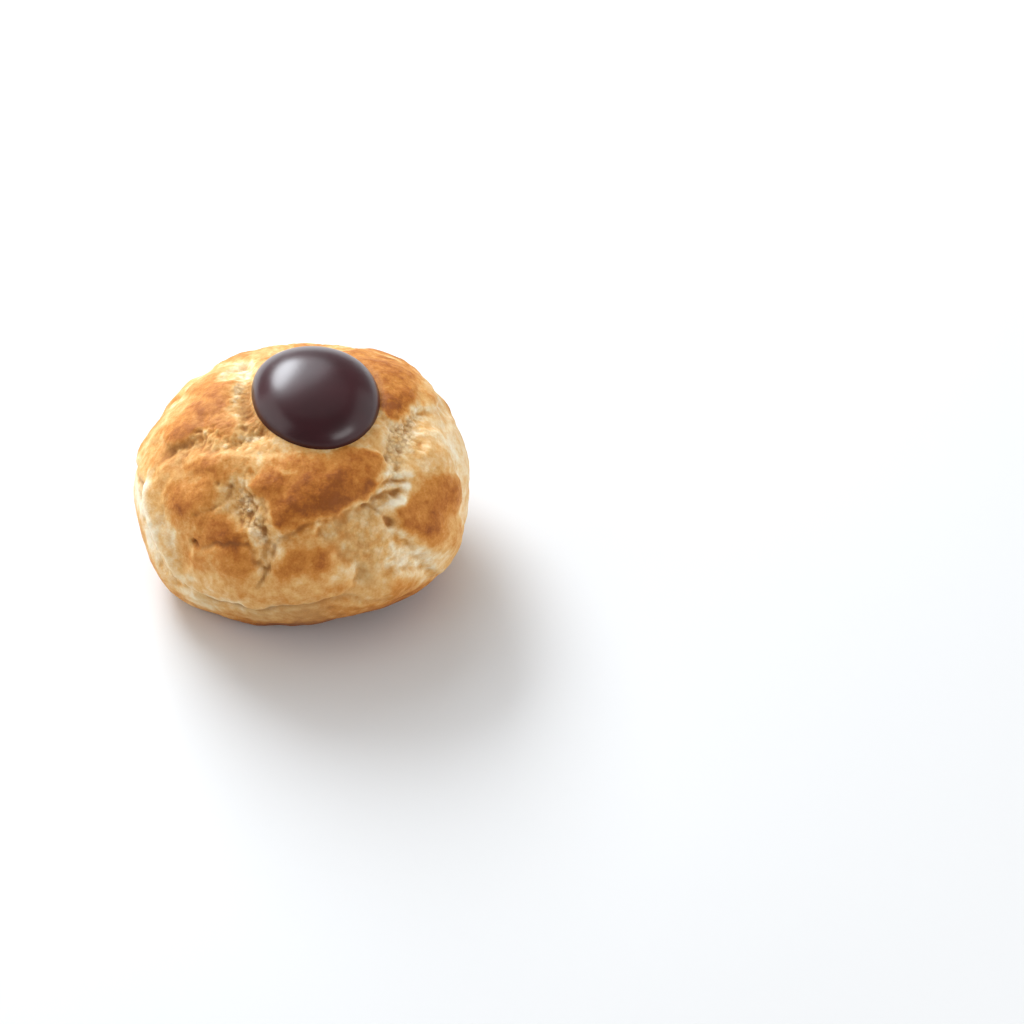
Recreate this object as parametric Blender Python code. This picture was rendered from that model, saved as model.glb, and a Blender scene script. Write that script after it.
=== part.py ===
"""Choux bun with a spot of chocolate glaze on its crown.

The bun is one solid: a squat, slightly lopsided ball with a flat foot. Its crust carries raised
browned plates, sunken tears where it burst in the oven, thin cracks, and a side seam with a
softer skirt below it. The glaze is a second solid, a thick oval drop that follows the crown.

Places on the crust are (turn, rise) in degrees, seen from the middle of the bun: turn 0 faces
-Y and grows towards +X, rise 0 is level and 90 is straight up. Lengths are in millimetres and
become metres when the meshes are written.
"""

import bmesh
import bpy
import numpy as np

MM = 0.001
HALF_TURN = 180  # degrees

# Ball
HALF_WIDTH = 31.0
HALF_DEPTH = 29.5
CENTRE_HEIGHT = 17.0
CROWN_RISE = 21.9
BELLY_DROP = 22.0
SQUARENESS = 2.2
FOOT_ROUNDING = 1.2
CRUST_RADIUS = 28.0
CUBE_SEGMENTS = 30

# Swells of the ball: turn, rise, spread in degrees, height
SWELLS = [
    (93, 4, 25, -0.7),
    (112, 18, 18, -0.6),
    (124, 31, 25, 0.4),
    (166, 46, 25, -1.3),
    (-152, 43, 25, -1.5),
    (-116, 25, 25, -2.6),
    (-90, 0, 25, -0.4),
    (-62, -27, 22, 2.2),
    (-31, -43, 24, 1.2),
    (26, -45, 21, -1.9),
    (62, -27, 25, 1.1),
    (180, 0, 28, -0.9),
]

# Browned plates: turn, rise, half length, half width, lean in degrees, lift
PLATES = [
    (-97, 50, 7.1, 5.1, 27, 0.8),
    (-83, 39, 6.0, 4.7, 16, 0.8),
    (-66, 53, 6.5, 3.6, 10, 0.4),
    (-100, 30, 6.5, 5.0, 0, 0.7),
    (-46, 38, 5.2, 2.9, 12, 1.1),
    (-41, 44, 2.6, 2.0, 3, 1.0),
    (-46, 25, 6.8, 4.6, 24, 1.5),
    (-46, 17, 4.6, 2.6, 21, 1.1),
    (-27, 20.5, 5.6, 3.0, 2, 1.2),
    (-19, 22, 2.2, 1.9, -4, 1.1),
    (-24, 10, 6.6, 4.0, 18, 1.7),
    (-22, 0, 8.4, 3.9, 7, 1.7),
    (4, 14, 5.4, 3.4, 9, 1.6),
    (5, 4, 7.2, 3.9, 6, 1.6),
    (-11, 41, 6.1, 3.2, -15, 1.2),
    (-1, 32, 5.0, 3.9, -77, 1.3),
    (17, 40, 6.7, 5.0, 3, 1.3),
    (36, 41, 6.3, 4.5, 5, 1.2),
    (20, 48, 11.0, 2.9, -14, 1.0),
    (-27, 46, 4.0, 2.6, 0, 0.7),
    (62, 18, 7.4, 4.8, -32, 1.2),
    (52, 14, 7.1, 4.3, -43, 1.3),
    (60, 3, 8.3, 4.1, -56, 1.2),
    (76, 24, 6.1, 3.5, -12, 1.1),
    (77, 30, 3.8, 1.7, -6, 1.0),
    (84, 46, 4.2, 2.8, -14, 1.0),
    (95, 50, 4.4, 2.2, -16, 1.0),
    (121, 44, 9.8, 7.5, -10, 1.1),
    (143, 44, 9.5, 4.2, -39, 1.1),
    (114, 30, 9.3, 3.3, -40, 1.0),
    (-156, 44, 10.4, 2.9, 72, 0.9),
    (-62, 16, 5.2, 2.5, -73, 0.8),
    (-49, 3, 4.0, 2.9, -50, 0.8),
    (41, -8, 4.9, 2.7, -29, 0.8),
    (62, -11, 10.1, 2.3, -53, 0.8),
    (142, 18, 8.6, 6.0, 15, 1.2),
    (172, 44, 7.5, 4.5, -20, 1.1),
    (178, 14, 8.6, 6.4, -10, 1.3),
    (-150, 18, 8.0, 6.0, 20, 1.2),
    (-128, 12, 7.0, 5.5, -15, 1.1),
    (-122, 36, 6.5, 5.0, 20, 1.0),
    (-103, 14, 6.5, 5.0, 10, 0.6),
    (97, 10, 6.0, 5.5, -15, 0.5),
    (118, -2, 7.0, 4.5, 10, 1.1),
    (155, -5, 8.0, 4.0, -5, 1.0),
    (-165, -6, 8.5, 4.0, 5, 1.0),
    (-125, -10, 8.0, 4.0, -10, 1.0),
    (92, -9, 6.0, 3.5, 5, 0.5),
    (157, 31, 6.0, 4.0, 35, 1.0),
    (-168, 33, 6.5, 3.6, -30, 1.0),
    (-141, 34, 6.0, 4.5, 10, 1.0),
    (120, 14, 6.0, 4.0, -30, 0.9),
]
PLATE_POWER = 2.4
PLATE_EDGE = (-0.8, 0.9)
PLATE_DOME = (-1.1, 3.2)
PLATE_DOME_SHARE = 0.65
PLATE_BLEND = 1.7
PLATE_REACH = 1.4
FAR_OUT = -9.0

# Tears: strokes through points of turn, rise, half width
TEARS = [
    [(-32, 63, 1.6), (-43, 54, 1.5), (-61, 47, 1.5), (-66, 36, 1.6), (-68, 30, 0.8)],
    [(-134, 54, 1.4), (-102, 62, 2.5), (-62, 65, 1.9)],
    [(-24, 44, 1.2), (-28, 34, 1.6), (-18, 28, 2.3), (-11, 21, 1.7), (-8, 13, 1.2), (-10, 6, 0.4)],
    [(-4, 22, 1.0), (5, 27, 1.6), (15, 24, 1.9), (25, 24, 2.5)],
    [(101, 34, 1.6), (85, 40, 3.0), (65, 41, 2.9), (52, 36, 2.3), (40, 30, 2.2), (29, 25, 2.7)],
    [(29, 25, 2.7), (20, 16, 2.3), (22, 5, 2.0)],
    [(27, 18, 3.4), (37, 7, 4.1), (49, -5, 3.0)],
    [(44, 28, 1.7), (55, 28, 1.4), (68, 26, 0.6)],
    [(-72, 8, 1.3), (-64, 2, 1.8), (-56, -5, 2.0), (-48, -11, 2.1)],
    [(160, 62, 1.4), (163, 40, 2.2), (158, 30, 2.4), (160, 10, 2.0), (150, 4, 1.2)],
    [(-172, 48, 1.4), (-170, 32, 2.4), (-163, 20, 1.8), (-160, 4, 2.2), (-150, 0, 1.2)],
    [(-138, 50, 1.8), (-140, 30, 2.4), (-136, 24, 2.2), (-140, 8, 1.6)],
    [(-136, 24, 1.8), (-126, 22, 1.6), (-118, 24, 0.8)],
    [(118, 22, 1.2), (122, 14, 2.2), (128, 4, 1.6)],
]
TEAR_DEPTH = 0.75
TEAR_EDGE = (-1.3, 1.6)
PLATE_OVER_TEAR = 0.45

# Cracks: thin grooves through points of turn, rise
CRACKS = [
    [(-39, 22), (-34, 27), (-31, 36)],
    [(-37, 13), (-30, 15), (-21, 19), (-16, 17), (-12, 11), (-9, 6)],
    [(-12, 4), (-8, 10), (-7, 15), (-3, 21), (2, 25), (9, 28)],
    [(170, -2), (178, 4), (-172, 2)],
    [(130, 8), (136, 2), (146, 0)],
    [(-118, 20), (-112, 10), (-114, 2)],
]
CRACK_HALF_WIDTH = 0.9
CRACK_DEPTH = 0.7

# Side seam, right round: turn, rise, strength
SEAM = [
    (-180, -12, 0.6),
    (-150, -14, 0.7),
    (-120, -6, 0.6),
    (-95, 6, 0.25),
    (-70, 14, 0.8),
    (-54, 2, 1.2),
    (-43, -6, 1.5),
    (-36, -10.5, 1.8),
    (-31, -13, 1.5),
    (-20, -12.5, 1.0),
    (-4, -8, 0.7),
    (13, -5, 0.6),
    (30, -9, 0.3),
    (60, -16, 0.3),
    (95, -14, 0.5),
    (130, -10, 0.6),
    (160, -12, 0.7),
]
SEAM_HALF_WIDTH = 1.3
SEAM_DEPTH = 1.1
SKIRT_STEP = 0.6
SKIRT_RUN = 2.5

# Uneven swelling of the crust, and the wander of its layout: size of a bump, height or reach, seed
UNEVENNESS = [
    (11.0, 0.9, 5),
    (4.5, 0.4, 9),
]
WANDER = [
    (7.0, 2.0, 11),
    (2.6, 0.5, 31),
]
AXIS_SHIFTS = (0.0, 7.3, 3.1)
NOISE_GAIN = 1.1
SLOPE_BITS = (0, 10, 20)
SLOPE_MASK = 0x3FF

# Glaze: a drop whose outline is an oval in the plane square to its middle direction
GLAZE_TURN = 110
GLAZE_RISE = 82
GLAZE_LEAN = -5
GLAZE_HALF_LENGTH = 16.0
GLAZE_HALF_WIDTH = 12.0
GLAZE_WOBBLE = 0.012
# the outline pushed out: angle from the long axis, spread in degrees, share
GLAZE_PUSHES = [(123, 32, 0.035)]
GLAZE_THICKNESS = 5.4
GLAZE_GAP = 0.3
GLAZE_RIM_LIFT = 0.3
GLAZE_RIM_POWER = 10
GLAZE_DOME_POWER = 2.3
GLAZE_DOME_ROOT = 0.5
GLAZE_UPRIGHT = 0.7
GLAZE_COVER = (1.0, 1.25)
GLAZE_NEVER = 0.2
GLAZE_SEGMENTS = 48
GLAZE_RINGS = 24

CRUST_COLOUR = (0.60, 0.31, 0.11, 1.0)
CRUST_ROUGHNESS = 0.65
GLAZE_COLOUR = (0.035, 0.013, 0.012, 1.0)
GLAZE_ROUGHNESS = 0.15


def smooth(value, low, high):
    """0 below low, 1 above high, and an S curve between."""
    t = np.clip((value - low) / (high - low), 0, 1)
    return t * t * (3 - 2 * t)


def direction(turn, rise):
    """The unit vector towards a place on the crust."""
    turn, rise = np.radians(turn), np.radians(rise)
    return np.stack([np.sin(turn) * np.cos(rise), -np.cos(turn) * np.cos(rise), np.sin(rise)], -1)


def tangents(turn, rise):
    """The unit vectors at a place that point along growing turn and along growing rise."""
    turn, rise = np.radians(turn), np.radians(rise)
    along = np.array([np.cos(turn), np.sin(turn), 0.0])
    up = np.array([-np.sin(turn) * np.sin(rise), np.cos(turn) * np.sin(rise), np.cos(rise)])
    return along, up


def hashed(cell, seed):
    """A fixed scramble of whole-number cells, as 32-bit numbers."""
    wrap = 0xFFFFFFFF
    x, y, z = np.moveaxis(cell.astype(np.uint32), -1, 0)
    h = x * np.uint32(374761393) + y * np.uint32(668265263) + z * np.uint32(2147483647)
    h = h + np.uint32(seed * 1274126177 & wrap)
    h = (h ^ (h >> np.uint32(13))) * np.uint32(1274126177)
    h = (h ^ (h >> np.uint32(16))) * np.uint32(2246822519)
    return h ^ (h >> np.uint32(15))


def noise(points, seed):
    """Gradient noise, about -1 to 1, with one bump for each unit of length."""
    cell = np.floor(points).astype(np.int64)
    inside = points - cell
    fade = inside**3 * (inside * (inside * 6 - 15) + 10)
    total = np.zeros(points.shape[:-1])
    for corner in np.ndindex(2, 2, 2):
        h = hashed(cell + corner, seed)
        bits = np.stack([h >> np.uint32(shift) & np.uint32(SLOPE_MASK) for shift in SLOPE_BITS], -1)
        slope = 2 * bits / SLOPE_MASK - 1
        weight = np.prod(np.where(corner, fade, 1 - fade), axis=-1)
        total += weight * np.sum(slope * (inside - corner), axis=-1)
    return total * NOISE_GAIN


def wandered(d):
    """Directions pushed about by noise, so that what is laid out with them has uneven edges."""
    moved = d.copy()
    for size, reach, seed in WANDER:
        at = d * CRUST_RADIUS / size
        push = [noise(at + shift, seed + axis) for axis, shift in enumerate(AXIS_SHIFTS)]
        moved += np.stack(push, -1) * reach / CRUST_RADIUS
    return moved / np.linalg.norm(moved, axis=-1, keepdims=True)


def plates(d):
    """How far inside the browned plates each direction lies, and the lift of the nearest ones."""
    total = np.full(len(d), np.exp(PLATE_BLEND * FAR_OUT))
    lifted = np.zeros(len(d))
    for turn, rise, half_length, half_width, lean, lift in PLATES:
        along, up = tangents(turn, rise)
        angle = np.arccos(np.clip(d @ direction(turn, rise), -1, 1))
        stretch = CRUST_RADIUS * angle / np.maximum(np.sin(angle), 1e-6)
        u, v = stretch * (d @ along), stretch * (d @ up)
        c, s = np.cos(np.radians(lean)), np.sin(np.radians(lean))
        x, y = (u * c + v * s) / half_length, (v * c - u * s) / half_width
        share = (np.abs(x) ** PLATE_POWER + np.abs(y) ** PLATE_POWER) ** (1 / PLATE_POWER)
        depth = np.where(angle < PLATE_REACH, (1 - share) * half_width, FAR_OUT)
        weight = np.exp(PLATE_BLEND * np.maximum(depth, FAR_OUT))
        total += weight
        lifted += weight * lift
    return np.log(total) / PLATE_BLEND, lifted / total


def stroke_distance(d, path, half_widths):
    """How far inside a stroke each direction lies, in millimetres, below 0 outside it."""
    deepest = np.full(len(d), -2 * CRUST_RADIUS)
    for a, b, wide_a, wide_b in zip(path[:-1], path[1:], half_widths[:-1], half_widths[1:]):
        t = np.clip((d - a) @ (b - a) / ((b - a) @ (b - a)), 0, 1)
        away = CRUST_RADIUS * np.linalg.norm(d - a - t[:, None] * (b - a), axis=-1)
        deepest = np.maximum(deepest, wide_a + (wide_b - wide_a) * t - away)
    return deepest


def tears(d):
    """How far inside the torn strokes each direction lies."""
    deepest = np.full(len(d), -2 * CRUST_RADIUS)
    for stroke in TEARS:
        turns, rises, half_widths = np.array(stroke, float).T
        deepest = np.maximum(deepest, stroke_distance(d, direction(turns, rises), half_widths))
    return deepest


def cracks(d):
    """The depth of the thin grooves."""
    depth = np.zeros(len(d))
    for line in CRACKS:
        turns, rises = np.array(line, float).T
        away = stroke_distance(d, direction(turns, rises), np.zeros(len(line)))
        depth = np.maximum(depth, CRACK_DEPTH * np.exp(-((away / CRACK_HALF_WIDTH) ** 2)))
    return depth


def seam(d):
    """The depth of the side seam's groove and of the skirt below it."""
    turns, rises, strengths = np.array(SEAM, float).T
    turn = np.degrees(np.arctan2(d[:, 0], -d[:, 1]))
    rise = np.degrees(np.arcsin(np.clip(d[:, 2], -1, 1)))
    strength = np.interp(turn, turns, strengths, period=360)
    below = np.radians(np.interp(turn, turns, rises, period=360) - rise) * CRUST_RADIUS
    groove = SEAM_DEPTH * np.exp(-((below / SEAM_HALF_WIDTH) ** 2))
    return strength * (groove + SKIRT_STEP * smooth(below, 0, SKIRT_RUN))


def ball_radius(d):
    """The distance from the centre to the ball before it has any crust."""
    flat = np.hypot(d[:, 0] / HALF_WIDTH, d[:, 1] / HALF_DEPTH)
    height = np.where(d[:, 2] > 0, CROWN_RISE, BELLY_DROP)
    radius = (flat**SQUARENESS + np.abs(d[:, 2] / height) ** SQUARENESS) ** (-1 / SQUARENESS)
    for turn, rise, spread, swell in SWELLS:
        angle = np.degrees(np.arccos(np.clip(d @ direction(turn, rise), -1, 1)))
        radius = radius + swell * np.exp(-((angle / spread) ** 2))
    return radius


def crust_relief(d):
    """The height of the crust over the ball."""
    moved = wandered(d)
    inside_plate, lift = plates(moved)
    on_plate = smooth(inside_plate, *PLATE_EDGE)
    torn = smooth(tears(moved), *TEAR_EDGE) * (1 - PLATE_OVER_TEAR * on_plate)
    dome = (1 - PLATE_DOME_SHARE) * on_plate + PLATE_DOME_SHARE * smooth(inside_plate, *PLATE_DOME)
    relief = lift * dome - TEAR_DEPTH * torn - cracks(moved) - seam(moved)
    for size, height, seed in UNEVENNESS:
        relief = relief + height * noise(d * CRUST_RADIUS / size, seed)
    return relief


def glaze_axes():
    """The glaze's middle direction, and the directions of its length and width."""
    along, up = tangents(GLAZE_TURN, GLAZE_RISE)
    c, s = np.cos(np.radians(GLAZE_LEAN)), np.sin(np.radians(GLAZE_LEAN))
    return direction(GLAZE_TURN, GLAZE_RISE), along * c + up * s, up * c - along * s


def glaze_outline(angle):
    """The reach of the glaze at an angle from its long axis."""
    long, wide = GLAZE_HALF_LENGTH, GLAZE_HALF_WIDTH
    oval = long * wide / np.hypot(wide * np.cos(angle), long * np.sin(angle))
    change = GLAZE_WOBBLE * np.cos(3 * angle)
    for place, spread, share in GLAZE_PUSHES:
        away = (np.degrees(angle) - place + HALF_TURN) % (2 * HALF_TURN) - HALF_TURN
        change = change + share * np.exp(-((away / spread) ** 2))
    return oval * (1 + change)


def glaze_share(d):
    """How far out from the glaze's middle each direction lies, as a share of its outline."""
    middle, length, width = glaze_axes()
    ahead = np.maximum(d @ middle, GLAZE_NEVER)
    u, v = CROWN_RISE * (d @ length) / ahead, CROWN_RISE * (d @ width) / ahead
    return np.hypot(u, v) / glaze_outline(np.arctan2(v, u))


def crust_radius(d):
    """The distance from the centre to the crust, which is smooth where the glaze covers it."""
    bare = smooth(glaze_share(d), *GLAZE_COVER)
    return ball_radius(d) + bare * crust_relief(d)


def placed(d, radius):
    """Points at those distances from the bun's centre, in millimetres above the foot."""
    return d * radius[:, None] + np.array([0, 0, CENTRE_HEIGHT])


def flat_foot(points):
    """The same points with all below the foot pressed flat, and a small round above its edge."""
    z = points[:, 2]
    rounded = (z + FOOT_ROUNDING) ** 2 / (4 * FOOT_ROUNDING)
    z = np.where(z < FOOT_ROUNDING, np.where(z > -FOOT_ROUNDING, rounded, 0.0), z)
    return np.column_stack([points[:, :2], z])


def positions(bm):
    return np.array([vert.co[:] for vert in bm.verts])


def finished_object(name, bm, points, material, collection):
    """Writes the points into the mesh in metres and makes a smooth-shaded object of it."""
    mesh = bpy.data.meshes.new(name)
    bm.to_mesh(mesh)
    bm.free()
    mesh.vertices.foreach_set("co", (points * MM).ravel())
    mesh.update()
    mesh.shade_smooth()
    mesh.materials.append(material)
    obj = bpy.data.objects.new(name, mesh)
    collection.objects.link(obj)
    return obj


def principled(name, colour, roughness):
    material = bpy.data.materials.new(name)
    material.use_nodes = True
    shader = material.node_tree.nodes["Principled BSDF"]
    shader.inputs["Base Color"].default_value = colour
    shader.inputs["Roughness"].default_value = roughness
    shader.inputs["Metallic"].default_value = 0.0
    return material


def make_bun(collection):
    """A subdivided cube blown up to a ball with even faces, then to the crust."""
    bm = bmesh.new()
    bmesh.ops.create_cube(bm, size=2)
    bmesh.ops.subdivide_edges(bm, edges=bm.edges[:], cuts=CUBE_SEGMENTS - 1, use_grid_fill=True)
    d = np.tan(positions(bm) * np.pi / 4)
    d /= np.linalg.norm(d, axis=1, keepdims=True)
    points = flat_foot(placed(d, crust_radius(d)))
    material = principled("baked_crust", CRUST_COLOUR, CRUST_ROUGHNESS)
    return finished_object("bun", bm, points, material, collection)


def make_glaze(collection):
    """A ball whose upper half becomes the dome and whose lower half follows the crown."""
    bm = bmesh.new()
    bmesh.ops.create_uvsphere(bm, u_segments=GLAZE_SEGMENTS, v_segments=GLAZE_RINGS, radius=1)
    x, y, z = positions(bm).T
    share = np.clip(np.hypot(x, y), 0, 1)
    angle = np.arctan2(y, x)
    reach = share * glaze_outline(angle)
    middle, length, width = glaze_axes()
    spread = np.outer(reach * np.cos(angle), length) + np.outer(reach * np.sin(angle), width)
    d = CROWN_RISE * middle + spread
    d /= np.linalg.norm(d, axis=1, keepdims=True)
    dome = GLAZE_THICKNESS * (1 - share**GLAZE_DOME_POWER) ** GLAZE_DOME_ROOT
    height = GLAZE_GAP + GLAZE_RIM_LIFT * share**GLAZE_RIM_POWER + np.where(z > 0, dome, 0)
    upward = (1 - GLAZE_UPRIGHT) * middle + GLAZE_UPRIGHT * np.array([0, 0, 1])
    points = placed(d, crust_radius(d)) + height[:, None] * upward / np.linalg.norm(upward)
    material = principled("chocolate", GLAZE_COLOUR, GLAZE_ROUGHNESS)
    return finished_object("chocolate_glaze", bm, points, material, collection)


def main():
    for obj in list(bpy.data.objects):
        bpy.data.objects.remove(obj, do_unlink=True)
    collection = bpy.data.collections.new("choux_bun")
    bpy.context.scene.collection.children.link(collection)
    make_bun(collection)
    make_glaze(collection)


main()
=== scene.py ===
import bpy
import numpy as np
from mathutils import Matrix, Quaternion, Vector


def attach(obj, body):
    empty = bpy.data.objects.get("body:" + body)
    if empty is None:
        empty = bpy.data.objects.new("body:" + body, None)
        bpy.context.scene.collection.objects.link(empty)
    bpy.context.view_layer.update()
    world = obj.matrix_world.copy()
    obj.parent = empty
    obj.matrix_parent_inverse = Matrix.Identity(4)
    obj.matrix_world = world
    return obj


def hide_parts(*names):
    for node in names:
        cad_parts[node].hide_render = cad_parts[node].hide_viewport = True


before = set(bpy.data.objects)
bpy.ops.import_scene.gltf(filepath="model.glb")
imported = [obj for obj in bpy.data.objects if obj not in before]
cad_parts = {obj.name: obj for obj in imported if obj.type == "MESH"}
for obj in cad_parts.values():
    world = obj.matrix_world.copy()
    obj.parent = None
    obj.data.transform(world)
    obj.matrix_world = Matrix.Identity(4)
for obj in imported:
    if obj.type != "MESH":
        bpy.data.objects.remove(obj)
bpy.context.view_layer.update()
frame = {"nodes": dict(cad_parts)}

# Choux bun with a chocolate glaze spot. Shapes are worked out in millimetres from the bun's centre.
print("frame loaded:", ", ".join(frame["nodes"]))

mm = 0.001
crustRadius = 28.0  # mean radius, turns angles on the crust into millimetres
noiseHeight = 1.1
# large odd numbers that mix a cell's place and seed, and the mask of ten bits
scramble = [np.uint32(n) for n in (374761393, 668265263, 2147483647, 1274126177, 2246822519)]
tenBits = np.uint32(0x3FF)

ballForm = {
    "halfWidth": 31.0,
    "halfDepth": 29.5,
    "centreHeight": 17.0,
    "crownRise": 21.9,
    "bellyDrop": 22.0,
    "squareness": 2.2,
    "footRounding": 1.2,
    # turn, rise, spread in degrees, height
    "swells": [
        (93, 4, 25, -0.7), (112, 18, 18, -0.6), (124, 31, 25, 0.4), (166, 46, 25, -1.3), (-152, 43, 25, -1.5),
        (-116, 25, 25, -2.6), (-90, 0, 25, -0.4), (-62, -27, 22, 2.2), (-31, -43, 24, 1.2),
        (26, -45, 21, -1.9), (62, -27, 25, 1.1), (180, 0, 28, -0.9),
    ],
}


def smooth(value, low, high):
    # S curve from 0 at low to 1 at high
    t = np.clip((value - low) / (high - low), 0, 1)
    return t * t * (3 - 2 * t)


def direction(turn, rise):
    # unit vector: turn 0 is -Y and grows towards +X, rise 90 is up
    turn, rise = np.radians(turn), np.radians(rise)
    return np.stack([np.sin(turn) * np.cos(rise), -np.cos(turn) * np.cos(rise), np.sin(rise)], -1)


def tangents(turn, rise):
    # unit vectors of growing turn and growing rise
    turn, rise = np.radians(turn), np.radians(rise)
    along = np.array([np.cos(turn), np.sin(turn), 0.0])
    up = np.array([-np.sin(turn) * np.sin(rise), np.cos(turn) * np.sin(rise), np.cos(rise)])
    return along, up


def scattered(cell, seed):
    # three fixed random numbers from 0 to 1 for each whole-number cell
    x, y, z = np.moveaxis(cell.astype(np.uint32), -1, 0)
    h = x * scramble[0] + y * scramble[1] + z * scramble[2]
    h = h + np.uint32(seed * int(scramble[3]) & 0xFFFFFFFF)
    h = (h ^ (h >> np.uint32(13))) * scramble[3]
    h = (h ^ (h >> np.uint32(16))) * scramble[4]
    h = h ^ (h >> np.uint32(15))
    return np.stack([h >> np.uint32(shift) & tenBits for shift in (0, 10, 20)], -1) / tenBits


def noise(points, seed):
    # gradient noise: slopes at whole-number corners, blended by a quintic fade
    cell = np.floor(points).astype(np.int64)
    inside = points - cell
    fade = inside**3 * (inside * (inside * 6 - 15) + 10)
    total = np.zeros(points.shape[:-1])
    for corner in np.ndindex(2, 2, 2):
        slope = 2 * scattered(cell + corner, seed) - 1
        weight = np.prod(np.where(corner, fade, 1 - fade), axis=-1)
        total += weight * np.sum(slope * (inside - corner), axis=-1)
    return total * noiseHeight


def bumps(d, size, seed):
    # noise on the crust with bumps of that size in millimetres
    return noise(d * crustRadius / size, seed)


def layered(d, layers):
    # sum of noises: size of a bump, height, seed
    return sum(height * bumps(d, size, seed) for size, height, seed in layers)


def grains(d, size, seed):
    # rounded lumps: 1 - squared distance to the nearest of scattered points, creased between them
    at = d * crustRadius / size
    cell = np.floor(at).astype(np.int64)
    nearest = np.full(d.shape[:-1], 9.0)
    for step in np.ndindex(3, 3, 3):
        corner = cell + step - 1
        nearest = np.minimum(nearest, np.sum((at - corner - scattered(corner, seed)) ** 2, axis=-1))
    return 1 - nearest


def folds(d):
    # soft folds: noise drawn out four times along one direction
    height = 0
    for turn, rise, size, high, seed in crustForm["folds"]:
        along = direction(turn, rise)
        height = height + high * bumps(d - 0.75 * (d @ along)[..., None] * along, size, seed)
    return height


def softened(rings, times):
    # each value averaged with its four neighbours, again and again
    for _ in range(times):
        above, below = np.vstack([rings[:1], rings[:-1]]), np.vstack([rings[1:], rings[-1:]])
        rings = (rings * 2 + above + below + np.roll(rings, 1, 1) + np.roll(rings, -1, 1)) / 6
    return rings


def wander(d, steps):
    # directions pushed about by noise: size, reach in mm, seed
    moved = d.copy()
    for size, reach, seed in steps:
        at = d * crustRadius / size
        push = [noise(at + shift, seed + axis) for axis, shift in enumerate((0.0, 7.3, 3.1))]
        moved += np.stack(push, -1) * reach / crustRadius
    return moved / np.linalg.norm(moved, axis=-1, keepdims=True)


def closedRings(name, rings, first, last):
    # a mesh from rings of points, rows by columns, closed by a point at each end
    rows, columns = rings.shape[:2]
    points = np.vstack([rings.reshape(-1, 3), first, last]) * mm
    start = np.arange(columns)
    after = (start + 1) % columns
    row = np.arange(rows - 1)[:, None] * columns
    quads = np.stack([row + start, row + columns + start, row + columns + after, row + after], -1)
    top, bottom = rows * columns, rows * columns + 1
    end = (rows - 1) * columns
    fans = [(top, a, b) for a, b in zip(start.tolist(), after.tolist())]
    fans += [(bottom, b, a) for a, b in zip((end + start).tolist(), (end + after).tolist())]
    mesh = bpy.data.meshes.new(name)
    mesh.from_pydata(points.tolist(), [], quads.reshape(-1, 4).tolist() + fans)
    mesh.update()
    mesh.shade_smooth()
    obj = bpy.data.objects.new(name, mesh)
    bpy.context.scene.collection.objects.link(obj)
    return obj


def pointValues(obj, name, values):
    # one number for each point, read by the material under that name
    obj.data.attributes.new(name, "FLOAT", "POINT").data.foreach_set("value", values.astype(np.float32))


class value:
    # a node's output; sums, differences and products of it add Math nodes

    def __init__(self, finish, socket):
        self.finish = finish
        self.socket = socket

    def math(self, operation, first, second):
        return self.finish.add("ShaderNodeMath", {"operation": operation}, {0: first, 1: second})

    def __add__(self, other):
        return self.math("ADD", self, other)

    def __sub__(self, other):
        return self.math("SUBTRACT", self, other)

    def __mul__(self, other):
        return self.math("MULTIPLY", self, other)

    def __rsub__(self, other):
        return self.math("SUBTRACT", other, self)

    __radd__ = __add__
    __rmul__ = __mul__


class finish:
    # a material and the nodes that it is made of

    def __init__(self, name):
        self.material = bpy.data.materials.new(name)
        self.material.use_nodes = True
        self.tree = self.material.node_tree
        self.shader = self.tree.nodes["Principled BSDF"]
        self.place = self.add("ShaderNodeVectorMath", {"operation": "SCALE"}, {
            0: self.add("ShaderNodeTexCoord", {}, {}, "Object"), "Scale": 1 / mm})

    def set(self, node, socket, content):
        if isinstance(content, value):
            self.tree.links.new(content.socket, node.inputs[socket])
        else:
            node.inputs[socket].default_value = content

    def add(self, kind, settings, sockets, output=0):
        node = self.tree.nodes.new(kind)
        for key, setting in settings.items():
            if key == "stops":
                ramp = node.color_ramp
                while len(ramp.elements) < len(setting):
                    ramp.elements.new(0.5)
                for element, (position, colour) in zip(ramp.elements, setting):
                    element.position = position
                    element.color = colour
            else:
                setattr(node, key, setting)
        for socket, content in sockets.items():
            self.set(node, socket, content)
        return value(self, node.outputs[output])

    def attribute(self, name):
        return self.add("ShaderNodeAttribute", {"attribute_name": name}, {}, "Fac")

    def grain(self, size, detail, roughness):
        # noise about 0 with bumps of that size in millimetres
        return self.add("ShaderNodeTexNoise", {}, {
            "Vector": self.place, "Scale": 1 / size, "Detail": detail, "Roughness": roughness}) - 0.5

    def between(self, low, high, amount):
        # 0 below low, 1 above high
        return self.add("ShaderNodeMapRange", {"interpolation_type": "SMOOTHSTEP"}, {
            "Value": amount, "From Min": low, "From Max": high})

    def mixed(self, amount, first, second):
        return self.add("ShaderNodeMix", {"data_type": "RGBA"}, {"Factor": amount, 6: first, 7: second}, 2)

    def bump(self, height, reach):
        # reach in millimetres for a height of 1
        return self.add("ShaderNodeBump", {}, {"Height": height, "Distance": reach * mm})

    def shade(self, **sockets):
        for name, content in sockets.items():
            self.set(self.shader, name.replace("_", " "), content)


def screen(red, green, blue):
    # a colour as seen on screen, 0 to 255, as linear light by the sRGB curve
    c = np.array([red, green, blue]) / 255
    linear = np.where(c <= 0.04045, c / 12.92, ((c + 0.055) / 1.055) ** 2.4)
    return (*linear.tolist(), 1.0)


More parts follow.
